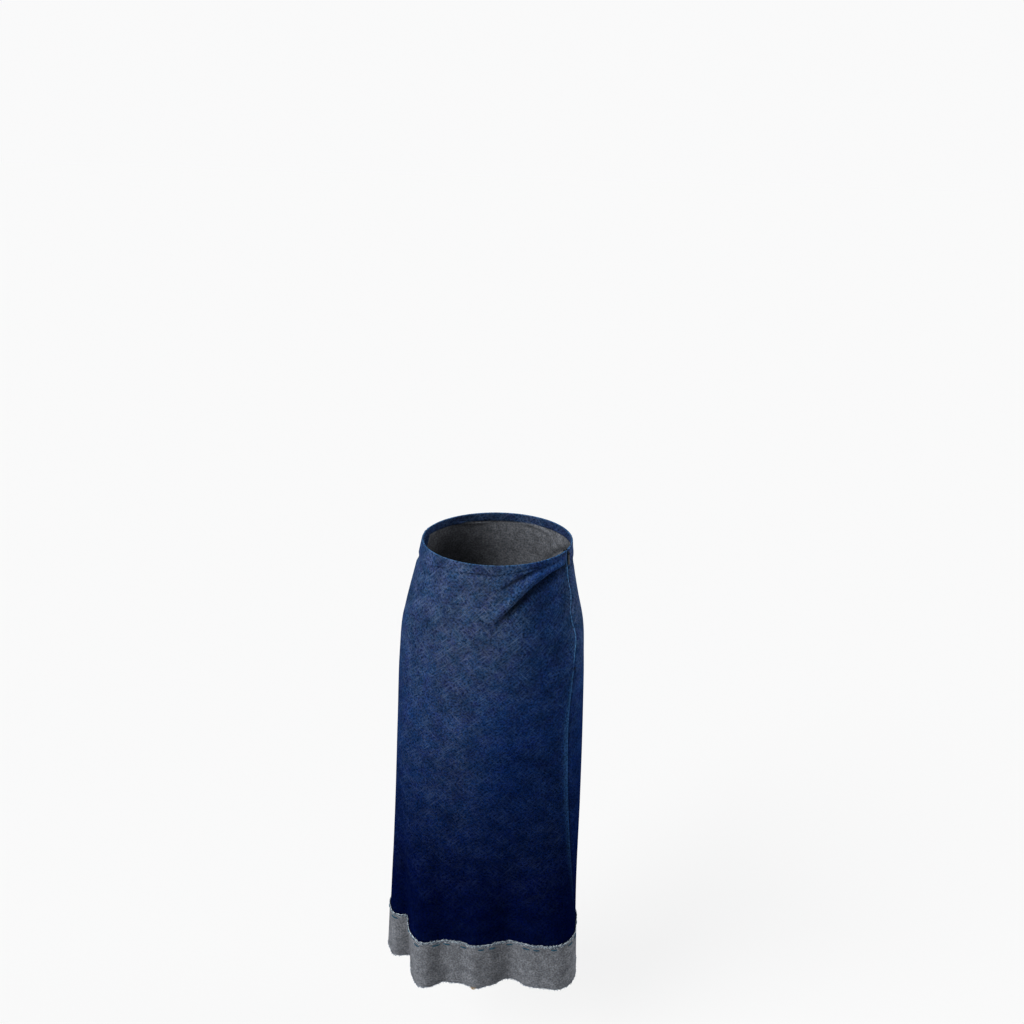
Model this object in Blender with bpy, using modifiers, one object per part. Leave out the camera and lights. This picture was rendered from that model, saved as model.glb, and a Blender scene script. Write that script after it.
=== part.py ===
"""A bias-cut denim midi skirt, as it hangs from the waist of the person who wears it.

The origin is the middle of the waist edge, +Z is up, the front faces -Y and the wearer's left is +X.
Two panels of dark denim meet at the side seams. A deep band of the same denim, wrong side out and
left raw at both edges, is lapped over their lower edge. A concealed zip closes the left side seam.
"""

import math

import bmesh
import bpy
import numpy as np
from mathutils import Matrix, Vector

for item in list(bpy.data.objects):
    bpy.data.objects.remove(item, do_unlink=True)

skirt = bpy.data.collections.new("denim_skirt")
cutters = bpy.data.collections.new("cutters")
bpy.context.scene.collection.children.link(skirt)
bpy.context.scene.collection.children.link(cutters)

# Cloth and seams, in metres
LENGTH = 0.840
CLOTH = 0.0012
SEAM_GAP = 0.0004
TURNING_DEPTH = 0.013
TURNED_CLOTH = 0.0026
TURNING_STEP = 0.0015
BAND_DEPTH = 0.100
BAND_LAP = 0.014
LAP_GAP = 0.0004

# The concealed zip, in metres. The bar is what the pull tab swings on.
TAPE_TOP = 0.0115
TAPE_END = 0.190
TAPE_WIDTH = 0.0110
TAPE_CLOTH = 0.0006
TAPE_GAP = 0.0006
BAR_DROP = 0.0045
BAR_LIFT = 0.0014
BRIDGE_WIRE = 0.0012
BRIDGE_RADIUS = 0.0017
SLIDER_WIDTH = 0.0070
SLIDER_HEIGHT = 0.0110
SLIDER_THICKNESS = 0.0030
SLIDER_INSET = 0.0031
SLIDER_ABOVE_BAR = 0.0060
SLIDER_EDGE = 0.0006
TAB_LENGTH = 0.0190
TAB_TOP_WIDTH = 0.0042
TAB_END_WIDTH = 0.0048
TAB_THICKNESS = 0.0008
TAB_EYE_WIDTH = 0.0024
TAB_EYE_START = 0.00055
TAB_EYE_END = 0.0031
TAB_POINTS = 28
TAB_CORNER_POWER = 0.35
STOP_WIDTH = 0.0050
STOP_HEIGHT = 0.0020
STOP_THICKNESS = 0.0016
STOP_EDGE = 0.0003
TAPE_STOP_GAP = 0.0004
TAPE_COLUMNS = 3
TAPE_ROWS = 14
TAPE_ROWS_START = 0.022

# How far the opening of the left seam gapes, closed below the slider
# drop, width
ZIP_OPENING = (
    (0.000, 0.0030),
    (0.010, 0.0026),
    (0.028, SEAM_GAP),
)

# The waist edge is a plane that leans a little, and the hem is level. These are the waist's rises for
# each metre along X and Y.
WAIST_SIDE_LEAN = 0.029
WAIST_FRONT_LEAN = 0.031

# Sections of the worn skirt, square to Z. Depths are from the middle of the section to the cloth.
# Fullness 2 is an ellipse and more is squarer. Sway is how far the middle has moved from the waist's.
# The turn is about Z in degrees, and brings the wearer's left side to the back where it is positive.
# drop, half width, front depth, back depth, fullness, turn, sway to the left, sway to the back
SECTIONS = (
    (0.000, 0.1184, 0.0974, 0.0960, 2.00, 0.0, 0.0000, 0.0000),
    (0.040, 0.1246, 0.1030, 0.1010, 2.00, 0.0, -0.0032, 0.0000),
    (0.090, 0.1353, 0.1080, 0.1120, 2.05, 0.0, -0.0055, 0.0000),
    (0.140, 0.1464, 0.1100, 0.1200, 2.10, 0.0, -0.0065, 0.0000),
    (0.200, 0.1509, 0.1090, 0.1240, 2.20, 0.5, -0.0074, -0.0010),
    (0.320, 0.1556, 0.1020, 0.1250, 2.30, 2.0, -0.0080, -0.0050),
    (0.480, 0.1605, 0.0920, 0.1230, 2.45, 4.0, -0.0097, -0.0100),
    (0.660, 0.1658, 0.0830, 0.1220, 2.60, 6.0, -0.0130, -0.0150),
    (0.840, 0.1719, 0.0780, 0.1220, 2.70, 7.0, -0.0132, -0.0175),
)

# The flutes that hang from the hips. Each one's middle is a distance round the hem's smooth section,
# from the wearer's left side over the front. Depth is how far the cloth stands out at the hem, and is
# negative where it falls in. A flute starts at its own drop and grows to the hem.
# middle round the hem, half span, depth at the hem, drop where it starts
FLUTES = (
    (0.060, 0.055, 0.0135, 0.40),
    (0.154, 0.047, -0.0205, 0.46),
    (0.217, 0.024, 0.0070, 0.55),
    (0.306, 0.039, 0.0240, 0.40),
    (0.366, 0.036, -0.0290, 0.38),
    (0.424, 0.024, 0.0080, 0.50),
    (0.470, 0.036, -0.0130, 0.50),
    (0.517, 0.036, 0.0170, 0.42),
    (0.568, 0.038, -0.0190, 0.45),
    (0.620, 0.040, 0.0180, 0.40),
    (0.672, 0.038, -0.0160, 0.45),
    (0.722, 0.036, 0.0190, 0.42),
    (0.775, 0.040, -0.0190, 0.46),
    (0.829, 0.036, 0.0120, 0.44),
    (0.880, 0.030, -0.0080, 0.50),
)

# The drape folds that fan out from the zip's top over the front. Each line falls from its start
# bearing and drop through a middle to an end. Height is out of the cloth, negative into it.
# start bearing, drop, middle bearing, drop, end bearing, drop, half width, height
FOLDS = (
    (14.0, 0.006, 46.0, 0.024, 84.0, 0.088, 0.018, 0.0050),
    (12.0, 0.024, 44.0, 0.046, 80.0, 0.108, 0.015, -0.0040),
)

# The mean radius that the folds' slopes are reckoned on
FOLD_RADIUS = 0.110

# Where the left side seam lies: it swings to the front over the hip, as bias-cut seams do
# drop, bearing
LEFT_SEAM = (
    (0.000, 10.5),
    (0.080, 10.6),
    (0.150, 13.0),
    (0.200, 15.2),
    (0.250, 18.2),
    (0.400, 18.6),
    (0.550, 15.0),
    (0.650, 10.6),
    (0.740, 8.0),
    (0.840, 6.5),
)
RIGHT_SEAM_BEARING = 184.0

# Columns and rows of the panels' and the bands' surfaces
FRONT_COLUMNS = 56
BACK_COLUMNS = 48
FRONT_WAIST_ROWS = 18
BACK_WAIST_ROWS = 12
WAIST_ROWS_END = 0.200
SKIRT_ROWS = 9
BAND_ROWS = 4

FULL_TURN = 360.0


def column(table, index):
    return np.array([row[index] for row in table])


def along(table, index, drop):
    """A smooth curve through one column of a table whose first column is the drop."""
    known = column(table, 0)
    values = column(table, index)
    slopes = np.gradient(values, known)
    drop = np.clip(drop, known[0], known[-1])
    cell = np.clip(np.searchsorted(known, drop) - 1, 0, len(known) - 2)
    span = known[cell + 1] - known[cell]
    part = (drop - known[cell]) / span
    start, end = values[cell], values[cell + 1]
    leave, arrive = slopes[cell] * span, slopes[cell + 1] * span
    return (
        start * (2 * part**3 - 3 * part**2 + 1)
        + leave * (part**3 - 2 * part**2 + part)
        + end * (3 * part**2 - 2 * part**3)
        + arrive * (part**3 - part**2)
    )


def section_radius(bearing, drop):
    """The smooth section's radius: (|cos b / half width|^n + |sin b / depth|^n)^(-1/n), n the fullness."""
    side, forward = np.cos(np.radians(bearing)), np.sin(np.radians(bearing))
    depth = np.where(forward > 0, along(SECTIONS, 2, drop), along(SECTIONS, 3, drop))
    fullness = along(SECTIONS, 4, drop)
    across = np.abs(side / along(SECTIONS, 1, drop)) ** fullness
    return (across + np.abs(forward / depth) ** fullness) ** (-1 / fullness)


def hem_distances():
    """Bearings all round, and how far round the hem's smooth section each lies, in metres."""
    known = np.linspace(0, FULL_TURN, 721)
    radius = section_radius(known, np.full(known.shape, LENGTH))
    x, y = radius * np.cos(np.radians(known)), radius * np.sin(np.radians(known))
    return known, np.concatenate([[0], np.cumsum(np.hypot(np.diff(x), np.diff(y)))])


def distance_round(bearing):
    """The distance round the hem of a bearing, from the wearer's left side over the front."""
    known, length = hem_distances()
    turns = np.floor(bearing / FULL_TURN)
    return turns * length[-1] + np.interp(bearing - turns * FULL_TURN, known, length)


def bearing_at(distance):
    """The bearing of a distance round the hem."""
    known, length = hem_distances()
    turns = np.floor(distance / length[-1])
    return turns * FULL_TURN + np.interp(distance - turns * length[-1], length, known)


def flute_depth(bearing, drop):
    """How far the flutes carry the cloth out at a place: a raised cosine across each, grown to the hem."""
    round_hem, whole = distance_round(bearing), distance_round(FULL_TURN)
    depth = np.zeros(np.broadcast(bearing, drop).shape)
    for centre, half_span, reach, start in FLUTES:
        apart = (round_hem - centre + whole / 2) % whole - whole / 2
        across = np.clip(np.abs(apart) / half_span, 0, 1)
        grown = np.clip((drop - start) / (LENGTH - start), 0, 1)
        depth = depth + reach * 0.5 * (1 + np.cos(np.pi * across)) * grown**1.3
    return depth


def fold_height(bearing, drop):
    """How far the drape folds stand out: a raised cosine across a parabola through three places."""
    height = np.zeros(np.broadcast(bearing, drop).shape)
    for start, start_drop, middle, middle_drop, end, end_drop, half_width, reach in FOLDS:
        bend = (end_drop - middle_drop) / (end - middle) - (middle_drop - start_drop) / (middle - start)
        bend = bend / (end - start)
        rise = (middle_drop - start_drop) / (middle - start)
        line = start_drop + (bearing - start) * (rise + bend * (bearing - middle))
        slope = np.degrees(rise + bend * (2 * bearing - start - middle)) / FOLD_RADIUS
        across = np.clip(np.abs(drop - line) / np.hypot(1, slope) / half_width, 0, 1)
        past = np.clip((bearing - start) / (end - start), 0, 1)
        height = height + reach * 0.5 * (1 + np.cos(np.pi * across)) * np.sin(np.pi * past) ** 0.7
    return height


def place(bearing, drop):
    """The cloth's outer face at a bearing in degrees and a drop below the waist edge in metres.

    The flutes and folds stand out level, square to the smooth section.
    """
    bearing, drop = np.broadcast_arrays(np.asarray(bearing, float), np.asarray(drop, float))
    side, forward = np.cos(np.radians(bearing)), np.sin(np.radians(bearing))
    half_width = along(SECTIONS, 1, drop)
    depth = np.where(forward > 0, along(SECTIONS, 2, drop), along(SECTIONS, 3, drop))
    power = along(SECTIONS, 4, drop) - 1
    radius = section_radius(bearing, drop)
    out_side = np.sign(side) * np.abs(radius * side / half_width) ** power / half_width
    out_forward = np.sign(forward) * np.abs(radius * forward / depth) ** power / depth
    out = (flute_depth(bearing, drop) + fold_height(bearing, drop)) / np.hypot(out_side, out_forward)
    across, ahead = radius * side + out * out_side, radius * forward + out * out_forward
    turn = np.radians(along(SECTIONS, 5, drop))
    x = across * np.cos(turn) + ahead * np.sin(turn)
    y = across * np.sin(turn) - ahead * np.cos(turn)
    lean = WAIST_SIDE_LEAN * x + WAIST_FRONT_LEAN * y
    kept = 1 - np.clip(drop / LENGTH, 0, 1)
    x, y = x + along(SECTIONS, 6, drop), y + along(SECTIONS, 7, drop)
    return np.stack([x, y, lean * kept - drop], axis=-1)


def outward(bearing, drop, step=0.5, rise=0.004):
    """The cloth's unit normal at a place, from small steps around and down."""
    around = place(bearing + step, drop) - place(bearing - step, drop)
    down = place(bearing, drop + rise) - place(bearing, drop - rise)
    normal = np.cross(around, down)
    return normal / np.linalg.norm(normal, axis=-1, keepdims=True)


def seam_bearing(drop):
    return along(LEFT_SEAM, 1, drop)


def in_degrees(length, drop):
    """The turn that takes a length along the side of the section at a drop."""
    return np.degrees(length / along(SECTIONS, 1, drop))


def opening(drop):
    return np.interp(drop, column(ZIP_OPENING, 0), column(ZIP_OPENING, 1))


def wall(drop):
    """The panel's thickness: doubled where the waist edge is turned in."""
    return np.interp(drop, (TURNING_DEPTH, TURNING_DEPTH + TURNING_STEP), (TURNED_CLOTH, CLOTH))


def panel_rows(waist_rows):
    """Drops of a panel's rows: the turning, the waist to the hip, the skirt, then under the band."""
    band_top = LENGTH - BAND_DEPTH
    turning = np.array([0.0, TURNING_DEPTH / 2, TURNING_DEPTH, TURNING_DEPTH + TURNING_STEP])
    waist = np.linspace(turning[-1], WAIST_ROWS_END, waist_rows + 1)[1:]
    skirt = np.linspace(WAIST_ROWS_END, band_top, SKIRT_ROWS + 1)[1:]
    return np.concatenate([turning, waist, skirt, [band_top + BAND_LAP]])


def band_rows():
    """Drops of a band's rows, the first two the same as the panel's last two."""
    band_top = LENGTH - BAND_DEPTH
    return np.concatenate([[band_top], np.linspace(band_top + BAND_LAP, LENGTH, BAND_ROWS + 1)])


def front_span(drop):
    start = seam_bearing(drop) + in_degrees(opening(drop) / 2, drop)
    return start, RIGHT_SEAM_BEARING - in_degrees(SEAM_GAP / 2, drop)


def back_span(drop):
    start = RIGHT_SEAM_BEARING + in_degrees(SEAM_GAP / 2, drop)
    return start, FULL_TURN + seam_bearing(drop) - in_degrees(opening(drop) / 2, drop)


def material(name, colour, roughness, metallic=0.0):
    made = bpy.data.materials.new(name)
    made.use_nodes = True
    shader = made.node_tree.nodes["Principled BSDF"]
    shader.inputs["Base Color"].default_value = (*colour, 1.0)
    shader.inputs["Roughness"].default_value = roughness
    shader.inputs["Metallic"].default_value = metallic
    made.diffuse_color = (*colour, 1.0)
    return made


def add_object(name, vertices, faces, finish=None, collection=None):
    mesh = bpy.data.meshes.new(name)
    mesh.from_pydata([tuple(point) for point in vertices], [], faces)
    mesh.update()
    made = bpy.data.objects.new(name, mesh)
    if finish is not None:
        mesh.materials.append(finish)
    (collection or skirt).objects.link(made)
    return made


def cloth_sheet(name, drops, span, columns, lift, thickness, finish):
    """A piece of cloth between two bearings, its outer face a lift out of the skirt's own surface."""
    part = np.linspace(0, 1, columns + 1)
    start, end = (distance_round(edge) for edge in span(drops))
    bearing = bearing_at(start[:, None] * (1 - part) + end[:, None] * part)
    drop = np.broadcast_to(drops[:, None], bearing.shape)
    lift = np.broadcast_to(np.asarray(lift(drops))[:, None], bearing.shape)
    points = place(bearing, drop) + outward(bearing, drop) * lift[..., None]
    width = columns + 1
    faces = [
        (row * width + col, row * width + col + 1, (row + 1) * width + col + 1, (row + 1) * width + col)
        for row in range(len(drops) - 1)
        for col in range(columns)
    ]
    made = add_object(name, points.reshape(-1, 3), faces, finish)
    made.data.polygons.foreach_set("use_smooth", [True] * len(faces))
    full = thickness(drops).max()
    share = made.vertex_groups.new(name="thickness")
    for row, value in enumerate(thickness(drops) / full):
        share.add(list(range(row * width, (row + 1) * width)), float(value), "REPLACE")
    shell = made.modifiers.new("Thickness", "SOLIDIFY")
    shell.thickness = full
    shell.offset = -1.0
    shell.use_even_offset = True
    shell.use_rim = True
    shell.vertex_group = share.name
    return made


def same(value):
    return lambda drops: np.full(np.shape(drops), value)


def seam_frame(drop, lift):
    """Local axes on the left seam: X round to the back, Y up the seam, Z out of the cloth."""
    bearing = seam_bearing(np.array([drop]))[0]
    out = Vector(outward(bearing, drop))
    down = Vector(place(bearing, drop + 0.004) - place(bearing, drop - 0.002))
    side = out.cross(down).normalized()
    up = out.cross(side).normalized()
    frame = Matrix((side, up, out)).transposed().to_4x4()
    frame.translation = Vector(place(bearing, drop)) + out * lift
    return frame


def block(name, size, centre, frame, finish=None, collection=None, edge=0.0):
    """A box in a local frame, its edges eased where a width is given."""
    shape = bmesh.new()
    bmesh.ops.create_cube(shape, size=1.0)
    bmesh.ops.transform(shape, matrix=Matrix.Diagonal((*size, 1.0)), verts=shape.verts)
    bmesh.ops.translate(shape, vec=centre, verts=shape.verts)
    if edge:
        bmesh.ops.bevel(shape, geom=shape.edges[:], offset=edge, segments=2, profile=0.5, affect="EDGES")
    bmesh.ops.transform(shape, matrix=frame, verts=shape.verts)
    mesh = bpy.data.meshes.new(name)
    shape.to_mesh(mesh)
    shape.free()
    made = bpy.data.objects.new(name, mesh)
    if finish is not None:
        mesh.materials.append(finish)
    (collection or skirt).objects.link(made)
    return made


def wire(name, path, radius, sides, frame, collection):
    """A round wire along a flat path in the local YZ plane, closed at both ends."""
    path = np.array(path)
    heading = np.gradient(path, axis=0)
    heading = heading / np.linalg.norm(heading, axis=1, keepdims=True)
    across = np.stack([-heading[:, 1], heading[:, 0]], axis=1)
    angle = np.linspace(0, 2 * np.pi, sides, endpoint=False)
    points = []
    for (y, z), (across_y, across_z) in zip(path, across):
        for cosine, sine in zip(np.cos(angle), np.sin(angle)):
            local = Vector((radius * sine, y + radius * cosine * across_y, z + radius * cosine * across_z))
            points.append(frame @ local)
    faces = [tuple(range(sides))[::-1], tuple(range((len(path) - 1) * sides, len(path) * sides))]
    for ring in range(len(path) - 1):
        for side in range(sides):
            here, beside = ring * sides + side, ring * sides + (side + 1) % sides
            faces.append((here, beside, beside + sides, here + sides))
    made = add_object(name, points, faces, None, collection)
    shape = bmesh.new()
    shape.from_mesh(made.data)
    bmesh.ops.recalc_face_normals(shape, faces=shape.faces)
    shape.to_mesh(made.data)
    shape.free()
    return made


def combine(target, other, operation):
    join = target.modifiers.new(operation.title(), "BOOLEAN")
    join.operation = operation
    join.solver = "EXACT"
    join.object = other
    other.hide_render = True
    other.display_type = "WIRE"


def make_panels_and_bands():
    front_denim = material("front_denim", (0.020, 0.040, 0.110), 0.85)
    back_denim = material("back_denim", (0.018, 0.037, 0.100), 0.85)
    front_grey = material("front_band_wrong_side", (0.160, 0.165, 0.180), 0.90)
    back_grey = material("back_band_wrong_side", (0.150, 0.155, 0.170), 0.90)
    lift = same(0.0)
    lapped = same(LAP_GAP + CLOTH)
    cloth = same(CLOTH)
    front_rows, back_rows = panel_rows(FRONT_WAIST_ROWS), panel_rows(BACK_WAIST_ROWS)
    cloth_sheet("front_panel", front_rows, front_span, FRONT_COLUMNS, lift, wall, front_denim)
    cloth_sheet("back_panel", back_rows, back_span, BACK_COLUMNS, lift, wall, back_denim)
    cloth_sheet("front_hem_band", band_rows(), front_span, FRONT_COLUMNS, lapped, cloth, front_grey)
    cloth_sheet("back_hem_band", band_rows(), back_span, BACK_COLUMNS, lapped, cloth, back_grey)


def make_zip():
    """The tapes lie on the panels' wrong side, the slider behind the waist edge, the tab in front."""
    top_rows = [TAPE_TOP, TURNING_DEPTH, TURNING_DEPTH + TURNING_STEP]
    tape_rows = np.concatenate([top_rows, np.linspace(TAPE_ROWS_START, TAPE_END, TAPE_ROWS)])

    def front_tape(drop):
        start = seam_bearing(drop) + in_degrees(SEAM_GAP / 2, drop)
        return start, start + in_degrees(TAPE_WIDTH, drop)

    def back_tape(drop):
        end = seam_bearing(drop) - in_degrees(SEAM_GAP / 2, drop)
        return end - in_degrees(TAPE_WIDTH, drop), end

    def under(drops):
        return -(wall(drops) + TAPE_GAP)

    black_front = material("zip_tape_front_black", (0.008, 0.008, 0.010), 0.80)
    black_back = material("zip_tape_back_black", (0.009, 0.009, 0.011), 0.80)
    tape = same(TAPE_CLOTH)
    cloth_sheet("zip_tape_front", tape_rows, front_tape, TAPE_COLUMNS, under, tape, black_front)
    cloth_sheet("zip_tape_back", tape_rows, back_tape, TAPE_COLUMNS, under, tape, black_back)

    frame = seam_frame(BAR_DROP, BAR_LIFT)
    metal = material("zip_slider_black_metal", (0.012, 0.012, 0.014), 0.35, 0.8)
    depth = -(BAR_LIFT + SLIDER_INSET + SLIDER_THICKNESS / 2)
    slider = block(
        "zip_slider",
        (SLIDER_WIDTH, SLIDER_HEIGHT, SLIDER_THICKNESS),
        (0, SLIDER_ABOVE_BAR - SLIDER_HEIGHT / 2, depth),
        frame,
        metal,
        edge=SLIDER_EDGE,
    )
    arc = np.linspace(0, math.pi, 13)
    bend = [(BRIDGE_RADIUS * math.cos(turn), BRIDGE_RADIUS * math.sin(turn)) for turn in arc]
    path = [(BRIDGE_RADIUS, depth)] + bend + [(-BRIDGE_RADIUS, depth)]
    bridge = wire("bridge_cutter", path, BRIDGE_WIRE / 2, 10, frame, cutters)
    combine(slider, bridge, "UNION")

    tab_metal = material("zip_pull_tab_black_metal", (0.014, 0.014, 0.016), 0.30, 0.8)
    turn = np.linspace(0, 2 * np.pi, TAB_POINTS, endpoint=False)
    middle, half = (TAB_EYE_START - TAB_LENGTH) / 2, (TAB_EYE_START + TAB_LENGTH) / 2
    y = middle + half * np.sign(np.sin(turn)) * np.abs(np.sin(turn)) ** TAB_CORNER_POWER
    down = (TAB_EYE_START - y) / (2 * half)
    breadth = TAB_TOP_WIDTH * (1 - down) + TAB_END_WIDTH * down
    x = breadth / 2 * np.sign(np.cos(turn)) * np.abs(np.cos(turn)) ** TAB_CORNER_POWER
    faces_out = (-TAB_THICKNESS / 2, TAB_THICKNESS / 2)
    outline = [frame @ Vector((across, above, out)) for out in faces_out for across, above in zip(x, y)]
    count = len(turn)
    faces = [tuple(range(count))[::-1], tuple(range(count, 2 * count))]
    faces += [(i, (i + 1) % count, (i + 1) % count + count, i + count) for i in range(count)]
    tab = add_object("zip_pull_tab", outline, faces, tab_metal)
    eye_height = TAB_EYE_END - TAB_EYE_START
    eye = block(
        "eye_cutter",
        (TAB_EYE_WIDTH, eye_height, 4 * TAB_THICKNESS),
        (0, -(TAB_EYE_START + eye_height / 2), 0),
        frame,
        collection=cutters,
    )
    combine(tab, eye, "DIFFERENCE")

    stop_metal = material("zip_stop_black", (0.010, 0.010, 0.012), 0.45, 0.5)
    stop_frame = seam_frame(TAPE_END + TAPE_STOP_GAP + STOP_HEIGHT / 2, 0.0)
    stop_depth = -(CLOTH + TAPE_GAP + STOP_THICKNESS / 2)
    block(
        "zip_stop",
        (STOP_WIDTH, STOP_HEIGHT, STOP_THICKNESS),
        (0, 0, stop_depth),
        stop_frame,
        stop_metal,
        edge=STOP_EDGE,
    )


make_panels_and_bands()
make_zip()
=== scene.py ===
import math

import bpy
import numpy as np
from mathutils import Matrix, Vector


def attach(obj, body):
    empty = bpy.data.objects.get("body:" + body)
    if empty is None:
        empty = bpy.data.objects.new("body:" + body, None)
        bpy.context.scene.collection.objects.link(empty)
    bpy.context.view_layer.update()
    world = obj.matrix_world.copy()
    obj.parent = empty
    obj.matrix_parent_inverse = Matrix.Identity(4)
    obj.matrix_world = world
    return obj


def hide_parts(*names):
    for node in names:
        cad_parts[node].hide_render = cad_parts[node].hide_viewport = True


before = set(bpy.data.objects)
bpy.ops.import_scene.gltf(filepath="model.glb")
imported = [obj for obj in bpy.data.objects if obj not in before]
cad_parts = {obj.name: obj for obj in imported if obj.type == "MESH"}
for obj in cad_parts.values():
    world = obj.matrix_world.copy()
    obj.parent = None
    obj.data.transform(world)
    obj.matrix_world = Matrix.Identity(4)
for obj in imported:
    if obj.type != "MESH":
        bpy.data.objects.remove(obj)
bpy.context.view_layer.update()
scene = bpy.context.scene

# Camera
# It stands in front of the skirt and a little to the wearer's left, above the waist, and looks down.
CAMERA_DISTANCE = 1.350
CAMERA_BEARING = 14.0
CAMERA_HEIGHT = 0.600
CAMERA_PITCH = 22.382
CAMERA_HEADING = 13.040
CAMERA_ROLL = 1.0
SENSOR_WIDTH = 36.0
FOCAL_LENGTH = 33.40
VIEW_GAMMA = 0.85


def add_object(name, data):
    made = bpy.data.objects.new(name, data)
    scene.collection.objects.link(made)
    return made


def camera_axes(pitch, heading, roll):
    """Right, up and backward axes: level heading, tipped down by the pitch, turned by the roll."""
    pitch, heading, roll = math.radians(pitch), math.radians(heading), math.radians(roll)
    level = Vector((-math.sin(heading), math.cos(heading), 0))
    forward = level * math.cos(pitch) - Vector((0, 0, math.sin(pitch)))
    right = Vector((math.cos(heading), math.sin(heading), 0))
    up = right.cross(forward)
    turned_right = right * math.cos(roll) + up * math.sin(roll)
    turned_up = up * math.cos(roll) - right * math.sin(roll)
    return turned_right, turned_up, -forward


side = math.radians(CAMERA_BEARING)
camera_data = bpy.data.cameras.new("camera")
camera_data.sensor_width = SENSOR_WIDTH
camera_data.lens = FOCAL_LENGTH
camera = add_object("camera", camera_data)
camera.matrix_world = Matrix.Translation(
    (CAMERA_DISTANCE * math.sin(side), -CAMERA_DISTANCE * math.cos(side), CAMERA_HEIGHT)
) @ Matrix(camera_axes(CAMERA_PITCH, CAMERA_HEADING, CAMERA_ROLL)).transposed().to_4x4()
scene.camera = camera
scene.view_settings.view_transform = "Standard"
scene.view_settings.gamma = VIEW_GAMMA


# Studio
# A plain pale floor as far below the waist as a standing wearer's, a pale sky that is brightest near the
# horizon, a broad soft light from high on the wearer's right and a weaker one from behind on the left.
FLOOR_DROP = 1.05
FLOOR_RADIUS = 30.0
FLOOR_GREY = (0.05, 0.05, 0.05)
FLOOR_GLOW = 0.865
SKY_LOW = (0.96, 0.96, 0.962)
SKY_HIGH = (0.42, 0.43, 0.45)
SKY_LOW_END = 0.16
SKY_HIGH_START = 0.42

# Name, where it shines from, strength, spread
LIGHTS = (
    ("key", (-0.74, -0.74, 1.00), 5.1, 32.0),
    ("back_light", (0.92, 0.52, 0.38), 3.0, 40.0),
)


def fill(shader, inputs):
    """Sets a shader node's inputs, by name or number, to values or to links."""
    for key, value in inputs.items():
        if isinstance(value, bpy.types.NodeSocket):
            shader.id_data.links.new(value, shader.inputs[key])
        else:
            shader.inputs[key].default_value = value


def node(tree, kind, inputs=None, **settings):
    made = tree.nodes.new("ShaderNode" + kind)
    for key, value in settings.items():
        setattr(made, key, value)
    fill(made, inputs or {})
    return made


def new_finish(name):
    """A material with nodes, and its tree."""
    made = bpy.data.materials.new(name)
    made.use_nodes = True
    return made, made.node_tree


def light_the_sky():
    """The sky's colour goes by height over the horizon, from the low colour to the high one."""
    world = bpy.data.worlds.new("studio")
    world.use_nodes = True
    tree = world.node_tree
    direction = node(tree, "TexCoord").outputs["Generated"]
    height = node(tree, "SeparateXYZ", {0: direction}).outputs["Z"]
    bounds = {"Value": height, "From Min": SKY_LOW_END, "From Max": SKY_HIGH_START}
    share = node(tree, "MapRange", bounds, interpolation_type="SMOOTHSTEP").outputs[0]
    ends = {0: share, 6: (*SKY_LOW, 1), 7: (*SKY_HIGH, 1)}
    colour = node(tree, "Mix", ends, data_type="RGBA").outputs[2]
    fill(tree.nodes["Background"], {"Color": colour})
    scene.world = world


def soft_light(name, direction, strength, spread):
    """A sun that shines from a direction, spread over an angle in degrees."""
    light = bpy.data.lights.new(name, "SUN")
    light.energy = strength
    light.angle = math.radians(spread)
    lamp = add_object(name, light)
    facing = Vector(direction).to_track_quat("Z", "Y").to_matrix().to_4x4()
    lamp.matrix_world = Matrix.Translation(direction) @ facing


def lay_floor():
    """A level square that glows, so that it is as pale as the sky's lower edge."""
    mesh = bpy.data.meshes.new("floor")
    corners = ((-1, -1), (1, -1), (1, 1), (-1, 1))
    places = [(x * FLOOR_RADIUS, y * FLOOR_RADIUS, -FLOOR_DROP) for x, y in corners]
    mesh.from_pydata(places, [], [(0, 1, 2, 3)])
    finish, tree = new_finish("pale_floor")
    looks = {"Base Color": (*FLOOR_GREY, 1), "Roughness": 1.0, "Specular IOR Level": 0.0}
    glow = {"Emission Color": (1, 1, 1, 1), "Emission Strength": FLOOR_GLOW}
    fill(tree.nodes["Principled BSDF"], looks | glow)
    mesh.materials.append(finish)
    add_object("floor", mesh)


light_the_sky()
for light in LIGHTS:
    soft_light(*light)
lay_floor()


# Front panel
# Mid-weight indigo denim cut on the bias, with its waist edge turned in. It hangs smooth over the hip,
# is dragged into folds below the zip, and opens into flutes above the hem.
LENGTH = 0.840
CLOTH = 0.0012
SEAM_GAP = 0.0001
TURNING_DEPTH = 0.013
TURNED_CLOTH = 0.0026
TURNING_STEP = 0.0015
BAND_DEPTH = 0.100
BAND_LAP = 0.014
PANEL_END = LENGTH - BAND_DEPTH + BAND_LAP
WAIST_SIDE_LEAN = 0.029
WAIST_FRONT_LEAN = 0.031
FULL_TURN = 360.0
RIGHT_SEAM_BEARING = 184.0

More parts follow.
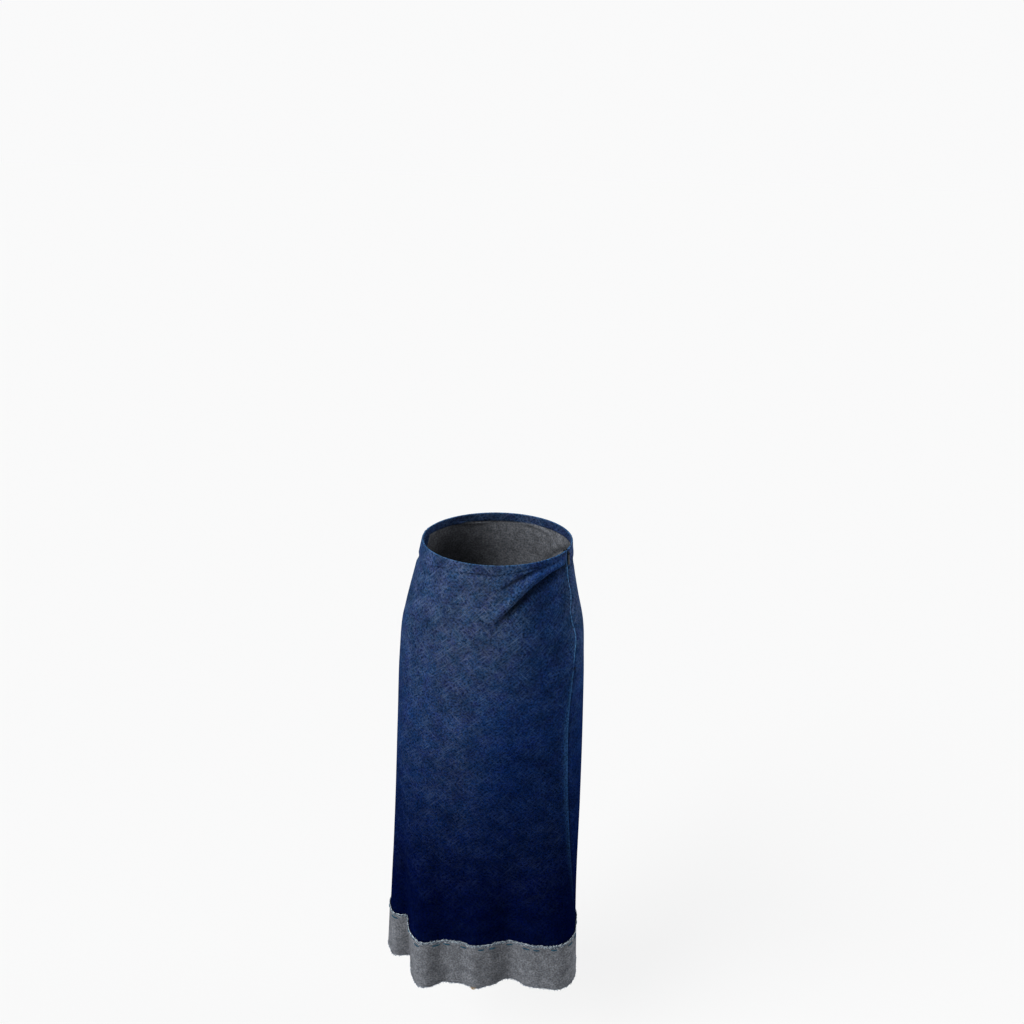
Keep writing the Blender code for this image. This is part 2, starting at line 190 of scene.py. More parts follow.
# Sections of the worn skirt, square to Z
# drop, half width, front depth, back depth, fullness, turn, sway to the left, sway to the back
SECTIONS = (
    (0.000, 0.1184, 0.0974, 0.0960, 2.00, 0.0, 0.0000, 0.0000),
    (0.040, 0.1246, 0.1030, 0.1010, 2.00, 0.0, -0.0032, 0.0000),
    (0.090, 0.1353, 0.1080, 0.1120, 2.05, 0.0, -0.0055, 0.0000),
    (0.140, 0.1464, 0.1100, 0.1200, 2.10, 0.0, -0.0065, 0.0000),
    (0.200, 0.1509, 0.1090, 0.1240, 2.20, 0.5, -0.0074, -0.0010),
    (0.320, 0.1556, 0.1020, 0.1250, 2.30, 2.0, -0.0080, -0.0050),
    (0.480, 0.1605, 0.0920, 0.1230, 2.45, 4.0, -0.0097, -0.0100),
    (0.660, 0.1658, 0.0830, 0.1220, 2.60, 6.0, -0.0130, -0.0150),
    (0.840, 0.1719, 0.0780, 0.1220, 2.70, 7.0, -0.0132, -0.0175),
)

# The flutes that hang from the hips
# middle round the hem, half span, depth at the hem, drop where it starts
FLUTES = (
    (0.060, 0.055, 0.0135, 0.40), (0.154, 0.047, -0.0205, 0.46), (0.217, 0.024, 0.0070, 0.55),
    (0.306, 0.039, 0.0240, 0.40), (0.366, 0.036, -0.0290, 0.38), (0.424, 0.024, 0.0080, 0.50),
    (0.470, 0.036, -0.0130, 0.50), (0.517, 0.036, 0.0170, 0.42), (0.568, 0.038, -0.0190, 0.45),
    (0.620, 0.040, 0.0180, 0.40), (0.672, 0.038, -0.0160, 0.45), (0.722, 0.036, 0.0190, 0.42),
    (0.775, 0.040, -0.0190, 0.46), (0.829, 0.036, 0.0120, 0.44), (0.880, 0.030, -0.0080, 0.50),
)
FLUTE_GROWTH = 1.3

# Where the left side seam lies
# drop, bearing
LEFT_SEAM = (
    (0.000, 10.5), (0.080, 10.6), (0.150, 13.0), (0.200, 15.2), (0.250, 18.2),
    (0.400, 18.6), (0.550, 15.0), (0.650, 10.6), (0.740, 8.0), (0.840, 6.5),
)

# How far the left seam gapes above the closed zip
# drop, width
ZIP_OPENING = ((0.000, 0.0030), (0.010, 0.0026), (0.028, SEAM_GAP))

# The drape folds and creases. Those of the front fan out from the zip's top or lie along the waist edge,
# and the others are where a skirt cut on the bias drags over the hips and under the seat. Each follows
# its line of places, with a height out of the cloth, or negative into it, and fades over shares of it.
# places (bearing, drop), half width above, half width below, height, sharpness, fade in, fade out
CREASES = (
    (((12, 0.010), (21, 0.013), (35, 0.016), (47, 0.027), (57, 0.042), (67, 0.062), (84, 0.094)),
     0.013, 0.011, 0.0056, 1.3, 0.10, 0.40),
    (((12, 0.018), (28, 0.023), (37, 0.031), (47, 0.042), (59, 0.063), (67, 0.078), (77, 0.097)),
     0.005, 0.020, -0.0060, 1.9, 0.06, 0.24),
    (((16, 0.009), (30, 0.010), (40, 0.0125), (50, 0.017), (58, 0.023), (67, 0.034), (80, 0.048)),
     0.006, 0.007, -0.0038, 1.3, 0.25, 0.4),
    (((36, 0.0075), (50, 0.0085), (60, 0.012), (70, 0.018)),
     0.003, 0.004, -0.0018, 1.3, 0.3, 0.5),
    (((60, 0.011), (76, 0.015), (84, 0.014), (94, 0.014), (106, 0.015), (128, 0.018)),
     0.002, 0.006, -0.0016, 1.2, 0.2, 0.4),
    (((14, 0.040), (24, 0.046), (34, 0.054), (46, 0.070)),
     0.010, 0.007, 0.0016, 1.2, 0.2, 0.5),
    (((15, 0.052), (26, 0.060), (38, 0.074), (50, 0.094)),
     0.005, 0.010, -0.0014, 1.3, 0.3, 0.5),
    (((118, 0.014), (128, 0.016), (138, 0.021), (148, 0.024)),
     0.002, 0.005, -0.0012, 1.2, 0.3, 0.5),
    (((128, 0.058), (146, 0.072), (163, 0.098), (180, 0.140)),
     0.010, 0.014, -0.0013, 1.1, 0.5, 0.4),
    (((152, 0.022), (168, 0.030), (186, 0.047), (204, 0.082)),
     0.008, 0.011, -0.0028, 1.3, 0.5, 0.5),
    (((194, 0.088), (212, 0.119), (231, 0.139), (250, 0.147)),
     0.012, 0.018, 0.0034, 1.2, 0.25, 0.35),
    (((214, 0.009), (227, 0.014), (243, 0.017), (255, 0.016)),
     0.003, 0.006, -0.0020, 1.3, 0.3, 0.5),
    (((268, 0.020), (284, 0.015), (301, 0.017), (317, 0.026)),
     0.004, 0.008, -0.0020, 1.3, 0.5, 0.3),
    (((291, 0.116), (306, 0.078), (322, 0.050), (339, 0.029), (360, 0.014)),
     0.010, 0.012, 0.0030, 1.3, 0.5, 0.45),
    (((297, 0.127), (311, 0.090), (326, 0.062), (342, 0.040), (362, 0.022)),
     0.005, 0.018, -0.0034, 1.8, 0.4, 0.35),
    (((272, 0.132), (290, 0.146), (308, 0.142), (324, 0.124)),
     0.009, 0.014, -0.0030, 1.2, 0.3, 0.3),
    (((196, 0.215), (210, 0.198), (226, 0.194), (242, 0.204)),
     0.010, 0.016, -0.0036, 1.3, 0.3, 0.3),
    (((218, 0.232), (236, 0.252), (256, 0.266), (276, 0.268), (296, 0.254)),
     0.016, 0.026, -0.0048, 1.1, 0.3, 0.3),
    (((236, 0.302), (256, 0.324), (278, 0.332), (300, 0.318), (316, 0.292)),
     0.014, 0.020, -0.0038, 1.2, 0.25, 0.35),
    (((224, 0.322), (246, 0.357), (268, 0.376), (291, 0.374)),
     0.014, 0.022, 0.0032, 1.2, 0.3, 0.3),
    (((300, 0.176), (314, 0.206), (327, 0.250), (337, 0.306), (343, 0.362)),
     0.012, 0.018, -0.0040, 1.3, 0.2, 0.45),
    (((189, 0.150), (195, 0.205), (204, 0.262), (216, 0.320)),
     0.012, 0.012, -0.0032, 1.3, 0.25, 0.4),
)

# The closed zip makes the cloth ripple in and out beside it
# drop, height
ZIP_RIPPLES = (
    (0.000, 0.0000), (0.045, 0.0000), (0.074, 0.0016), (0.104, -0.0030),
    (0.142, 0.0024), (0.168, 0.0006), (0.205, 0.0000), (0.840, 0.0000),
)
ZIP_RIPPLE_REACH = 0.030
MEAN_RADIUS = 0.110

# The seam allowances under the panels raise the cloth beside a seam, and the stitching draws it in
RIDGE_FROM_SEAM = 0.0050
RIDGE_HALF_WIDTH = 0.0045
RIDGE_HEIGHT = 0.0006
SEAM_ROLL_WIDTH = 0.0022
SEAM_ROLL_DEPTH = 0.0008
PUCKER_SPACING = 0.017
PUCKER_HEIGHT = 0.0002
PUCKER_DRIFT = 2.3
PUCKER_DRIFT_RATE = 31.0

# Rows are close together at the waist, where the creases are, and columns beside the zip
# ends of the stretches, and rows or columns in each
FRONT_ROWS = ((0.000, 0.120, 0.210, PANEL_END), (96, 42, 78))
FRONT_COLUMNS = ((0.0, 0.022, 0.460, 1.0), (12, 112, 86))
WAIST_ROLL_STEPS = 6
FRONT_CENTRE = 90.0
FRONT_CUT = (0.475, 0.790)
FRONT_AREA = 0.30

# The right side's dye and the pale weft between it, from the hem to the waist
# height over the hem as a share of the length, colour
INDIGO_WITH_PAINTED_SHADE = (
    (0.20, (0.0003, 0.0021, 0.0235)), (0.29, (0.0004, 0.0028, 0.0265)),
    (0.42, (0.0013, 0.0074, 0.0380)), (0.55, (0.0040, 0.0138, 0.0540)),
    (0.67, (0.0068, 0.0196, 0.0680)), (0.86, (0.0120, 0.0260, 0.0700)),
)
WEFT_GREY_WITH_PAINTED_SHADE = (
    (0.20, (0.0060, 0.0110, 0.0360)), (0.42, (0.0260, 0.0400, 0.0860)),
    (0.67, (0.0520, 0.0800, 0.1480)), (0.86, (0.0800, 0.1140, 0.1840)),
)
WEFT_SHARE = 0.86
# The pale blue of worn places, which also paints the highlights along the left seam's edge and the waist's
# roll
WORN_AND_HIGHLIGHT_BLUE = (0.100, 0.280, 0.500)

# How the dye has faded round the skirt, as a share of the colour. Painted light and shade are in it as well:
# darker in painted shade between the zip and the front, paler where the light falls on the front
# bearing, share at the waist, at the knee, near the hem
FADING_WITH_PAINTED_LIGHT = (
    (0, 1.15, 0.60, 0.48), (12, 1.02, 0.58, 0.50), (24, 0.68, 0.70, 0.86),
    (40, 0.62, 0.66, 0.95), (60, 1.00, 0.60, 0.88), (81, 1.14, 0.80, 0.82),
    (105, 1.14, 1.16, 0.92), (135, 1.02, 1.06, 0.90), (168, 0.95, 0.92, 0.80),
    (196, 0.88, 0.84, 0.84), (240, 1.10, 0.96, 0.90), (285, 1.14, 1.00, 0.90),
    (325, 0.90, 0.72, 0.90), (360, 1.15, 0.60, 0.48), (384, 0.68, 0.70, 0.86),
)
# Drops of the waist, knee and hem shares, and powers on the share for red, green and blue that make painted
# shade a deeper blue
FADING_WITH_PAINTED_LIGHT_DROPS = (0.08, 0.36, 0.60)
FADING_WITH_PAINTED_LIGHT_POWERS = (1.8, 1.0, 0.35)
# Painted shade in sunk creases and painted highlight along raised ones, with whisker wear: the change per
# metre of the crease's height, and its bounds
CREASE_PAINTED_LIGHT = 110.0
CREASE_PAINTED_TONES = (0.44, 1.25)

# How far the front's edge of the left seam is worn pale, with a painted highlight along it, and where that
# lies beside the seam
# drop, share, distance from the seam, half width
SEAM_WEAR_AND_HIGHLIGHT = (
    (0.000, 0.40, 0.0015, 0.0020), (0.022, 0.42, 0.0015, 0.0020), (0.030, 0.72, 0.0015, 0.0023),
    (0.062, 0.52, 0.0015, 0.0022), (0.086, 0.74, 0.0016, 0.0025), (0.112, 0.38, 0.0016, 0.0020),
    (0.145, 0.74, 0.0016, 0.0025), (0.178, 0.64, 0.0016, 0.0024), (0.186, 0.08, 0.0016, 0.0022),
    (0.198, 0.24, 0.0022, 0.0032), (0.235, 0.15, 0.0036, 0.0050), (0.310, 0.18, 0.0046, 0.0060),
    (0.400, 0.15, 0.0046, 0.0062), (0.520, 0.09, 0.0042, 0.0060), (0.640, 0.04, 0.0035, 0.0050),
    (0.740, 0.00, 0.0020, 0.0030),
)
# How pale the top of the turned waist edge is, worn and with a painted highlight along it
WAIST_WEAR_AND_HIGHLIGHT = 0.22

# The threads' lean, and their slubs or thick places: length and width
BIAS = 45.0
LONG_SLUB = (0.034, 0.0028)
SHORT_SLUB = (0.0080, 0.0028)
LONG_SLUB_SHARE = 0.78
SHORT_SLUB_SHARE = 0.78
WARP_STREAKS = (0.53, 0.76)
WEFT_STREAKS = (0.55, 0.78)
PATCH = 0.026
PATCH_SHARES = (0.45, 1.0)

# Flecks, grain and clouds: their size, and the tones between which they swing
FLECK = 0.0050
FLECK_SHARE = 0.58
GRAIN = 0.0032
GRAIN_TONES = (0.36, 1.60)
CLOUD = 0.032
CLOUD_TONES = (0.74, 1.26)
TINT = 0.020
TEAL = (0.78, 1.06, 0.99)
VIOLET = (1.26, 0.95, 1.01)
WEAR_AND_HIGHLIGHT_TONES = (0.20, 1.10)

# The wrong side, where the pale weft lies uppermost
WEFT_FACE = (0.121, 0.125, 0.135)
WARP_SPECK_BLUE = (0.045, 0.068, 0.105)
WARP_SPECK = (0.004, 0.0016)
WARP_SPECK_SHARE = 0.45
WRONG_CLOUD = 0.012
WRONG_CLOUD_TONES = (0.76, 1.24)
WRONG_SLUB_TONES = (0.92, 1.30)
WRONG_GRAIN_TONES = (0.66, 1.30)

# Twill ribs and the cloth's relief: shares of rib, grain and slub, then bump strength and distance
TWILL_PITCH = 0.0010
TWILL_SLOPE = 0.45
RELIEF_SHARES = (0.25, 0.5, 0.4)
CLOTH_BUMP = (0.45, 0.0004)


def column(table, index):
    return np.array([row[index] for row in table], float)


def along(table, index, at):
    """A smooth curve through one column of a table whose first column is the place along it."""
    known = column(table, 0)
    values = column(table, index)
    slopes = np.gradient(values, known)
    at = np.clip(at, known[0], known[-1])
    cell = np.clip(np.searchsorted(known, at) - 1, 0, len(known) - 2)
    span = known[cell + 1] - known[cell]
    part = (at - known[cell]) / span
    start, end = values[cell], values[cell + 1]
    leave, arrive = slopes[cell] * span, slopes[cell + 1] * span
    return (
        start * (2 * part**3 - 3 * part**2 + 1)
        + leave * (part**3 - 2 * part**2 + part)
        + end * (3 * part**2 - 2 * part**3)
        + arrive * (part**3 - part**2)
    )


def section(bearing, drop):
    """The smooth section: its radius, (|cos b / half width|^n + |sin b / depth|^n)^(-1/n), then cos b, sin b,
    half width, depth and the fullness n."""
    side, forward = np.cos(np.radians(bearing)), np.sin(np.radians(bearing))
    half_width, fullness = along(SECTIONS, 1, drop), along(SECTIONS, 4, drop)
    depth = np.where(forward > 0, along(SECTIONS, 2, drop), along(SECTIONS, 3, drop))
    across = np.abs(side / half_width) ** fullness
    radius = (across + np.abs(forward / depth) ** fullness) ** (-1 / fullness)
    return radius, side, forward, half_width, depth, fullness


def hem_distances():
    """Bearings all round, and how far round the hem's smooth section each lies, in metres."""
    known = np.linspace(0, FULL_TURN, 721)
    radius, side, forward = section(known, np.full(known.shape, LENGTH))[:3]
    x, y = radius * side, radius * forward
    return known, np.concatenate([[0], np.cumsum(np.hypot(np.diff(x), np.diff(y)))])


HEM_BEARINGS, HEM_DISTANCES = hem_distances()
HEM_GIRTH = HEM_DISTANCES[-1]


def distance_round(bearing):
    turns = np.floor(np.asarray(bearing) / FULL_TURN)
    return turns * HEM_GIRTH + np.interp(bearing - turns * FULL_TURN, HEM_BEARINGS, HEM_DISTANCES)


def bearing_at(distance):
    turns = np.floor(np.asarray(distance) / HEM_GIRTH)
    return turns * FULL_TURN + np.interp(distance - turns * HEM_GIRTH, HEM_DISTANCES, HEM_BEARINGS)


def bell(apart, reach):
    """A raised cosine across the middle, (1 + cos(pi * apart / reach)) / 2, and nothing past its reach."""
    return 0.5 * (1 + np.cos(np.pi * np.clip(np.abs(apart) / reach, 0, 1)))


def flute_depth(bearing, drop):
    """A bell across each flute, that grows from nothing where it starts to its depth at the hem."""
    round_hem = distance_round(bearing)
    depth = np.zeros(np.broadcast(bearing, drop).shape)
    for centre, half_span, reach, start in FLUTES:
        apart = (round_hem - centre + HEM_GIRTH / 2) % HEM_GIRTH - HEM_GIRTH / 2
        grown = np.clip((drop - start) / (LENGTH - start), 0, 1)
        depth = depth + reach * bell(apart, half_span) * grown**FLUTE_GROWTH
    return depth


def smooth_step(low, high, value):
    """3t^2 - 2t^3 of the share t of the way from low to high."""
    share = np.clip((value - low) / (high - low), 0, 1)
    return share * share * (3 - 2 * share)


def crease_height(bearing, drop):
    """Each crease is a bell across its line, to the power of its sharpness."""
    height = np.zeros(np.broadcast(bearing, drop).shape)
    for places, above, below, reach, sharpness, fade_in, fade_out in CREASES:
        start, end = places[0][0], places[-1][0]
        line = along(places, 1, bearing)
        slope = np.degrees(along(places, 1, bearing + 1) - along(places, 1, bearing - 1)) / 2 / MEAN_RADIUS
        apart = (drop - line) / np.hypot(1, slope)
        share = (bearing - start) / (end - start)
        kept = smooth_step(0, fade_in, share) * smooth_step(1, 1 - fade_out, share)
        height = height + reach * bell(apart, np.where(apart < 0, above, below)) ** sharpness * kept
    return height


def ripple_height(bearing, drop):
    """A bell across the left seam, with a height that swings in and out down the zip."""
    turn = (bearing - seam_bearing(drop) + FULL_TURN / 2) % FULL_TURN - FULL_TURN / 2
    return along(ZIP_RIPPLES, 1, drop) * bell(np.radians(turn) * along(SECTIONS, 1, drop), ZIP_RIPPLE_REACH)


def place(bearing, drop):
    """The cloth's outer face at a bearing in degrees and a drop below the waist edge in metres.

    A point of the section, moved out along the section's normal by the flutes and the creases, then
    turned about Z, swayed, and raised by the waist edge's lean, which dies away to the hem.
    """
    bearing, drop = np.broadcast_arrays(np.asarray(bearing, float), np.asarray(drop, float))
    radius, side, forward, half_width, depth, fullness = section(bearing, drop)
    out_side = np.sign(side) * np.abs(radius * side / half_width) ** (fullness - 1) / half_width
    out_forward = np.sign(forward) * np.abs(radius * forward / depth) ** (fullness - 1) / depth
    out = flute_depth(bearing, drop) + crease_height(bearing, drop) + ripple_height(bearing, drop)
    out = out / np.hypot(out_side, out_forward)
    across, ahead = radius * side + out * out_side, radius * forward + out * out_forward
    turn = np.radians(along(SECTIONS, 5, drop))
    x = across * np.cos(turn) + ahead * np.sin(turn)
    y = across * np.sin(turn) - ahead * np.cos(turn)
    lean = (WAIST_SIDE_LEAN * x + WAIST_FRONT_LEAN * y) * (1 - np.clip(drop / LENGTH, 0, 1))
    x, y = x + along(SECTIONS, 6, drop), y + along(SECTIONS, 7, drop)
    return np.stack([x, y, lean - drop], axis=-1)


def unit(vectors):
    return vectors / np.linalg.norm(vectors, axis=-1, keepdims=True)


def outward(bearing, drop, step=0.25, rise=0.001):
    """The cloth's unit normal at a place: around x down, from small steps each way."""
    around = place(bearing + step, drop) - place(bearing - step, drop)
    down = place(bearing, drop + rise) - place(bearing, drop - rise)
    return unit(np.cross(around, down))


def on_cloth(bearing, drop, lift):
    """A place moved out of the cloth by a lift."""
    return place(bearing, drop) + outward(bearing, drop) * np.asarray(lift)[..., None]


def seam_bearing(drop):
    return along(LEFT_SEAM, 1, drop)


def in_degrees(length, drop):
    """The turn that takes a length along the side of the section at a drop."""
    return np.degrees(length / along(SECTIONS, 1, drop))


def opening(drop):
    return np.interp(drop, column(ZIP_OPENING, 0), column(ZIP_OPENING, 1))


def front_span(drop):
    start = seam_bearing(drop) + in_degrees(opening(drop) / 2, drop)
    return start, RIGHT_SEAM_BEARING - in_degrees(SEAM_GAP / 2, drop)


def wall(drop):
    """The panel's thickness: doubled where the waist edge is turned in."""
    return np.interp(drop, (TURNING_DEPTH, TURNING_DEPTH + TURNING_STEP), (TURNED_CLOTH, CLOTH))


def spaced(ends, counts):
    """Places from the first end to the last, evenly spaced in each stretch."""
    counted = np.concatenate([[0], np.cumsum(counts)])
    return np.interp(np.arange(counted[-1] + 1), counted, ends)


def span_grid(drops, span, shares):
    """Bearings of a grid: each row runs from the span's start to its end at even shares round the hem."""
    start, end = (distance_round(edge) for edge in span(drops))
    bearing = bearing_at(start[:, None] * (1 - shares) + end[:, None] * shares)
    return bearing, np.broadcast_to(drops[:, None], bearing.shape)


def stretches(points, axis):
    """How far each point lies from the one before it along an axis of the grid."""
    return np.linalg.norm(np.diff(points, axis=axis, prepend=points.take([0], axis=axis)), axis=2)


def seam_relief(points, strength):
    """How far the cloth lies out beside the seams, by the distance s from the nearer one: a bell for the
    allowance with its puckers, less depth * (1 - s/width)^2 where the stitching draws it in."""
    travelled = stretches(points, 1).cumsum(axis=1)
    down = stretches(points[:, :1], 0).cumsum(axis=0)
    drift = PUCKER_DRIFT * np.sin(down * PUCKER_DRIFT_RATE)
    puckers = PUCKER_HEIGHT * np.sin(2 * np.pi * down / PUCKER_SPACING + drift)
    relief = np.zeros(travelled.shape)
    for apart in (travelled, travelled[:, -1:] - travelled):
        ridge = bell(apart - RIDGE_FROM_SEAM, RIDGE_HALF_WIDTH)
        rolled = np.clip(1 - apart / SEAM_ROLL_WIDTH, 0, 1) ** 2
        relief = relief + ridge * (RIDGE_HEIGHT + puckers) - SEAM_ROLL_DEPTH * rolled
    return relief * strength


def fade_and_painted_light_share(bearing, drop):
    """The fading round the skirt, with painted light and shade in it, between its shares at the waist, the
    knee and the hem.
    """
    known = column(FADING_WITH_PAINTED_LIGHT, 0)
    waist, knee, hem = (np.interp(bearing, known, column(FADING_WITH_PAINTED_LIGHT, index)) for index in (1, 2, 3))
    lower, lowest = smooth_step(*FADING_WITH_PAINTED_LIGHT_DROPS[:2], drop), smooth_step(*FADING_WITH_PAINTED_LIGHT_DROPS[1:], drop)
    return waist * (1 - lower) + knee * (lower - lowest) + hem * lowest


def painted_crease_light(bearing, drop):
    """Paler along raised creases and darker in sunk ones, painted highlight and painted shade along with
    whisker wear: one plus a multiple of the crease's height.
    """
    return np.clip(1 + CREASE_PAINTED_LIGHT * crease_height(bearing, drop), *CREASE_PAINTED_TONES)


def seam_wear_and_highlight(bearing, drop):
    """A bell curve across the left seam's edge, worn pale and with a painted highlight, exp(-(apart / half
    width)^2).
    """
    travelled = stretches(place(bearing, drop), 1).cumsum(axis=1)
    known = column(SEAM_WEAR_AND_HIGHLIGHT, 0)
    share, middle, reach = (np.interp(drop, known, column(SEAM_WEAR_AND_HIGHLIGHT, index)) for index in (1, 2, 3))
    return share * np.exp(-(((travelled - middle) / reach) ** 2))


def flat_places(points, centre_column):
    """The cloth's own flat coordinates in metres: across from the centre column, and down."""
    across = stretches(points, 1).cumsum(axis=1)
    across = across - across[:, centre_column : centre_column + 1]
    down = stretches(points, 0).mean(axis=1).cumsum()
    return np.stack([across, np.broadcast_to(-down[:, None], across.shape)], axis=-1)


def add_piece(name, points, quads, finish, body, sharp=45.0):
    """A mesh of four-sided faces, as an object at the origin that rides on a body."""
    mesh = bpy.data.meshes.new(name)
    mesh.from_pydata(points.reshape(-1, 3).tolist(), [], quads.reshape(-1, 4).tolist())
    mesh.shade_smooth()
    mesh.set_sharp_from_angle(angle=math.radians(sharp))
    mesh.materials.append(finish)
    piece = add_object(name, mesh)
    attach(piece, body)
    return piece


def strip(first, second):
    """Four-sided faces between two lines of vertex numbers."""
    return np.stack([first[:-1], first[1:], second[1:], second[:-1]], axis=-1)


def lay_cloth(
    name, bearing, drop, outer, inner, finish, slot, cut, solid=None, area=None, relief=0.0,
    wear_and_highlight=0.0, dye_and_painted_light=1.0, painted_crease_tone=1.0, behind_look=1.0, roll_steps=0, centre_column=0,
):
    """A sheet hung on the skirt's form: a closed wall between place + out * outer and place + out * inner.

    Rows run down and columns round. The rims are straight, except that the top may be a half circle of
    roll steps: middle + (outer - middle) cos a + up r sin a, from the outer face over to the inner. The wear
    with its painted highlight, the dye's fade with painted light and shade in it, the painted shade and
    highlight of the creases, and the share of the inner look are numbers for the whole grid or for each
    point, which the material reads by name. The UV map is in metres of cloth.
    """
    base, out = place(bearing, drop), outward(bearing, drop)
    outer = base + out * (outer + seam_relief(base, relief))[..., None]
    inner = base + out * np.asarray(inner)[..., None]
    rows, columns = outer.shape[:2]
    number = np.arange(rows * columns).reshape(rows, columns)
    behind = number + rows * columns
    quads = [
        np.stack([number[:-1, :-1], number[:-1, 1:], number[1:, 1:], number[1:, :-1]], -1).reshape(-1, 4),
        np.stack([behind[:-1, :-1], behind[1:, :-1], behind[1:, 1:], behind[:-1, 1:]], -1).reshape(-1, 4),
        strip(number[-1], behind[-1]),
        strip(number[:, 0], behind[:, 0]),
        strip(behind[:, -1], number[:, -1]),
    ]
    flat, every = flat_places(outer, centre_column), np.ones((rows, columns))
    points, flats = [outer, inner], [flat, flat]
    numbers = {
        "inside": [every * 0, every * behind_look],
        "wear_and_highlight": [every * wear_and_highlight, every * 0],
        "dye_and_painted_light": [every * dye_and_painted_light] * 2,
        "painted_crease_tone": [every * painted_crease_tone] * 2,
    }
    last, count = number[0], 2 * rows * columns
    if roll_steps:
        middle, reach = (outer[0] + inner[0]) / 2, np.linalg.norm(outer[0] - inner[0], axis=-1) / 2
        up = unit(outer[0] - outer[1])
        for turn in np.linspace(0, np.pi, roll_steps + 1)[1:-1]:
            rolled = middle + (outer[0] - middle) * math.cos(turn) + up * reach[:, None] * math.sin(turn)
            points.append(rolled)
            flats.append(flat[0] + (0, TURNED_CLOTH * turn / np.pi))
            numbers["inside"].append(every[0] * 0)
            # The roll's top is worn pale and holds a painted highlight
            numbers["wear_and_highlight"].append(every[0] * WAIST_WEAR_AND_HIGHLIGHT * math.sin(turn))
            for layer in ("dye_and_painted_light", "painted_crease_tone"):
                numbers[layer].append(numbers[layer][0][0])
            ring = np.arange(columns) + count
            quads.append(strip(ring, last))
            last, count = ring, count + columns
    quads.append(strip(behind[0], last))
    points = np.concatenate([part.reshape(-1, 3) for part in points])
    cloth = add_piece(name, points, np.concatenate(quads), finish, "skirt")
    corner = np.zeros(len(cloth.data.loops), np.int32)
    cloth.data.loops.foreach_get("vertex_index", corner)
    flats = np.concatenate([part.reshape(-1, 2) for part in flats])[corner]
    cloth.data.uv_layers.new(name="cloth").data.foreach_set("uv", flats.astype(np.float32).ravel())
    for layer, parts in numbers.items():
        values = np.concatenate([part.ravel() for part in parts]).astype(np.float32)
        cloth.data.attributes.new(layer, "FLOAT", "POINT").data.foreach_set("value", values)
    if solid:
        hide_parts(solid)


def noise(vector, size, detail=2.0, dimensions="3D"):
    """A noise whose blots are about the size given, in metres, from 0 to 1. As below, its node goes into
    the tree that the link given belongs to."""
    inputs = {"Vector": vector, "Scale": 1 / size, "Detail": detail, "Roughness": 0.55}
    return node(vector.id_data, "TexNoise", inputs, noise_dimensions=dimensions).outputs["Fac"]


def stretched_noise(thread, length, width, detail=2.0):
    """A noise drawn out along the first thread direction."""
    inputs = {"Vector": thread, "Scale": (1 / length, 1 / width, 1)}
    drawn_out = node(thread.id_data, "Mapping", inputs).outputs[0]
    return noise(drawn_out, 1.0, detail, "2D")


def remap(value, low, high, to_low=0.0, to_high=1.0):
    inputs = {"Value": value, "From Min": low, "From Max": high, "To Min": to_low, "To Max": to_high}
    return node(value.id_data, "MapRange", inputs).outputs[0]


def maths(operation, first, second=0.0):
    return node(first.id_data, "Math", {0: first, 1: second}, operation=operation).outputs[0]


def times(first, second):
    return maths("MULTIPLY", first, second)


def mixed(share, first, second):
    inputs = {0: share, 6: first, 7: second}
    return node(share.id_data, "Mix", inputs, data_type="RGBA").outputs[2]


def scaled(colour, amount):
    inputs = {0: colour, "Scale": amount}
    return node(amount.id_data, "VectorMath", inputs, operation="SCALE").outputs[0]


def product(colour, factors):
    inputs = {0: colour, 1: factors}
    return node(colour.id_data, "VectorMath", inputs, operation="MULTIPLY").outputs[0]


def own_number(tree, name):
    """A number that the piece's vertices carry."""
    return node(tree, "Attribute", attribute_name=name).outputs["Fac"]


def object_place(tree):
    return node(tree, "TexCoord").outputs["Object"]


def ramp(value, stops):
    """A colour ramp through stops of (place, colour)."""
    made = node(value.id_data, "ValToRGB", {0: value})
    while len(made.color_ramp.elements) < len(stops):
        made.color_ramp.elements.new(0.5)
    for element, (where, colour) in zip(made.color_ramp.elements, stops):
        element.position = where
        element.color = (*colour, 1)
    return made.outputs["Color"]


def finish_surface(tree, colour, relief, bump, rough, shine):
    """The colour, the roughness and the shine, and a bump of the relief by its strength and distance."""
    normal = node(tree, "Bump", {"Strength": bump[0], "Distance": bump[1], "Height": relief}).outputs[0]
    looks = {"Normal": normal, "Base Color": colour, "Roughness": rough, "Specular IOR Level": shine}
    fill(tree.nodes["Principled BSDF"], looks)


def hatch(thread, size):
    """Pale streaks along both thread directions, 0 to 1, of a length and width."""
    length, width = size
    warp = remap(stretched_noise(thread, length, width), *WARP_STREAKS)
    weft = remap(stretched_noise(thread, width, length), *WEFT_STREAKS)
    return maths("MAXIMUM", warp, weft)


